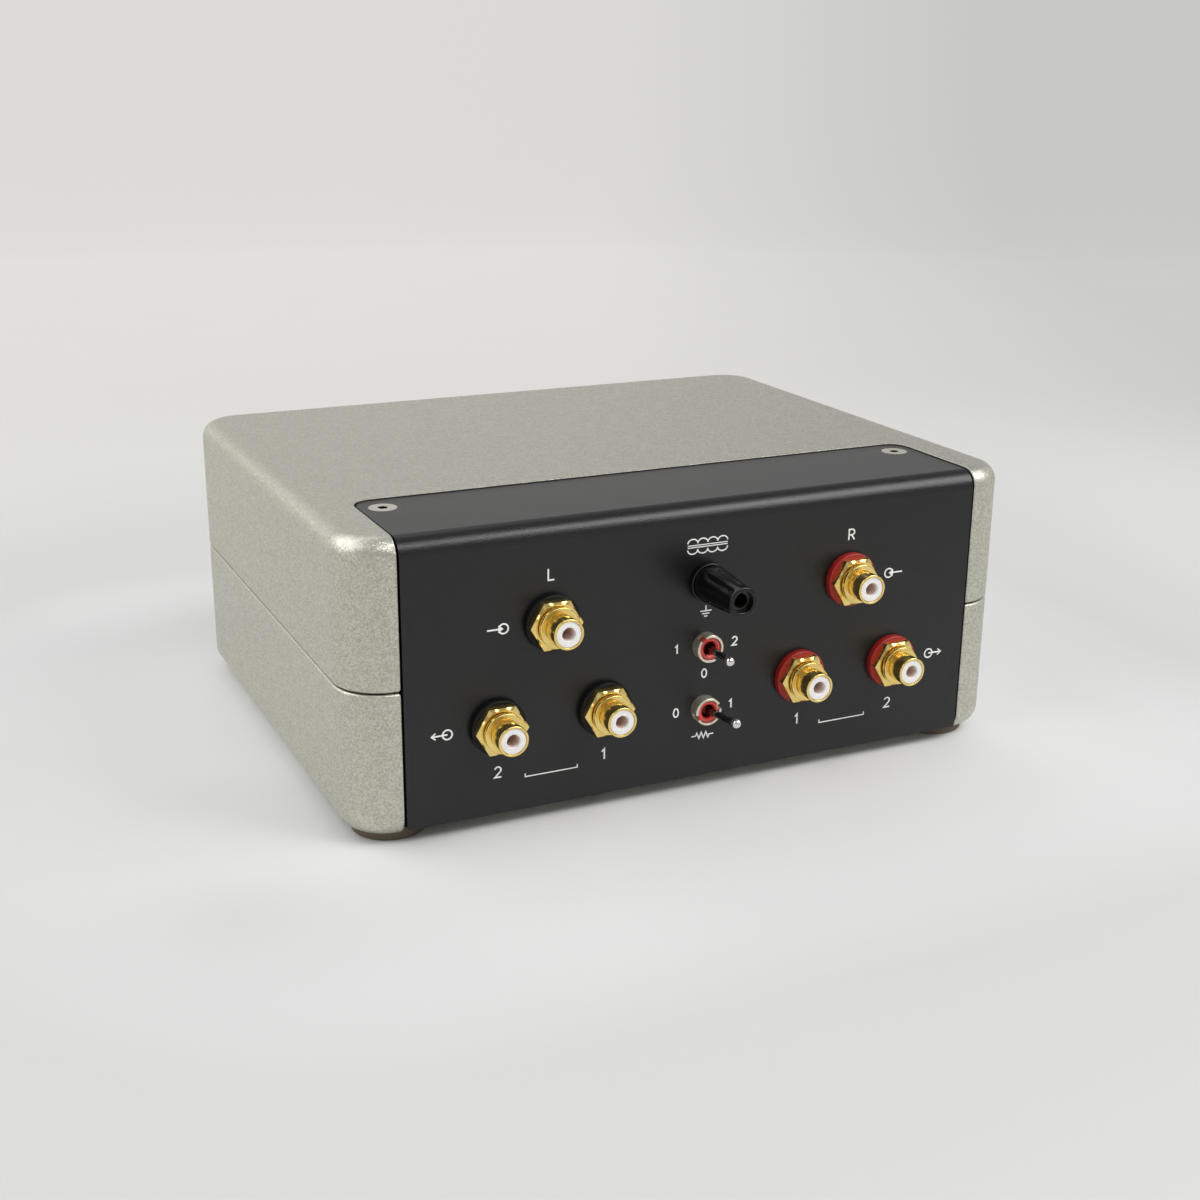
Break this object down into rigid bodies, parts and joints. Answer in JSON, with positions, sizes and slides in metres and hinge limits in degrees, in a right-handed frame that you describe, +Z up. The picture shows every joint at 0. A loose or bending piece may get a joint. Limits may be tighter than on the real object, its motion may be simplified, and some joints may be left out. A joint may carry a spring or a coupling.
{
  "type": "moving coil step-up transformer",
  "caption": "Low rounded two-shell metal box with a folded black front panel that carries phono sockets, toggle switches and a ground post, with shielded step-up transformers inside",
  "frame": {"origin": "on the floor under the middle of the whole part, connectors included", "axes": "+X to the right seen from the front, +Y to the back, +Z up; the front panel faces -Y"},
  "size_m": [0.2, 0.18, 0.0822],
  "materials": {
    "shell_paint": "satin",
    "panel_black": "satin",
    "dark_screw": "satin",
    "zinc_steel": "satin",
    "foot_rubber": "matte",
    "gold": "polished",
    "washer_black": "satin",
    "washer_red": "satin",
    "insulator_white": "gloss",
    "contact_bronze": "satin",
    "inner_black": "matte",
    "tinned": "satin",
    "bushing_red": "gloss",
    "nickel": "polished",
    "lever_chrome": "polished",
    "knob_black": "satin",
    "shield": "satin",
    "core_iron": "satin",
    "former_plastic": "matte",
    "enamelled_copper": "gloss",
    "lead_sheath": "satin"
  },
  "bodies": {
    "case": {"upper_shell": "shell_paint", "lower_shell": "shell_paint", "front_panel": "panel_black", "strip_screws": "dark_screw", "stud_nuts": "zinc_steel", "case_screws": "zinc_steel", "foot_front_left": "foot_rubber", "foot_front_right": "foot_rubber", "foot_rear_left": "foot_rubber", "foot_rear_right": "foot_rubber", "socket_body_left_in": "gold", "socket_body_left_low": "gold", "socket_body_left_high": "gold", "socket_body_right_in": "gold", "socket_body_right_low": "gold", "socket_body_right_high": "gold", "socket_washer_left_in": "washer_black", "socket_washer_left_low": "washer_black", "socket_washer_left_high": "washer_black", "socket_washer_right_in": "washer_red", "socket_washer_right_low": "washer_red", "socket_washer_right_high": "washer_red", "socket_insulators_left": "insulator_white", "socket_insulators_right": "insulator_white", "socket_contacts_left": "contact_bronze", "socket_contacts_right": "contact_bronze", "socket_rear_washers": "inner_black", "socket_tags": "tinned", "socket_nuts": "gold", "upper_switch_body": "bushing_red", "lower_switch_body": "bushing_red", "upper_switch_base": "inner_black", "lower_switch_base": "inner_black", "upper_switch_terminals": "tinned", "lower_switch_terminals": "tinned", "upper_switch_nut": "nickel", "lower_switch_nut": "nickel", "post_stud": "nickel", "post_collar": "knob_black", "post_bush": "inner_black", "post_tag": "tinned", "post_nut": "nickel", "can_left": "shield", "can_right": "shield", "can_base_left": "shield", "can_base_right": "shield", "core_left": "core_iron", "core_right": "core_iron", "coil_former_left": "former_plastic", "coil_former_right": "former_plastic", "winding_left": "enamelled_copper", "winding_right": "enamelled_copper", "can_screws": "zinc_steel", "wiring_left": "lead_sheath", "wiring_right": "lead_sheath"},
    "upper_lever": {"upper_switch_lever": "lever_chrome"},
    "lower_lever": {"lower_switch_lever": "lever_chrome"},
    "clamp": {"post_clamp": "nickel"},
    "knob": {"post_knob": "knob_black"}
  },
  "joints": [
    {"name": "upper_lever_swing", "type": "hinge", "parent": "case", "child": "upper_lever", "pos_m": [0, -0.07, 0.0422], "axis": [0, 0, 1], "range_deg": [-12, 12]},
    {"name": "lower_lever_swing", "type": "hinge", "parent": "case", "child": "lower_lever", "pos_m": [0, -0.07, 0.024], "axis": [0, 0, 1], "range_deg": [-24, 0]},
    {"name": "post_travel", "type": "slide", "parent": "case", "child": "clamp", "axis": [0, -1, 0], "range_m": [0, 0.0024]},
    {"name": "post_turn", "type": "hinge", "parent": "clamp", "child": "knob", "pos_m": [0, -0.07, 0.0604], "axis": [0, -1, 0], "range_deg": [0, 1080]}
  ],
  "couplings": [
    {"joint": "post_turn", "follows": "post_travel", "rad_per_m": 7854}
  ]
}
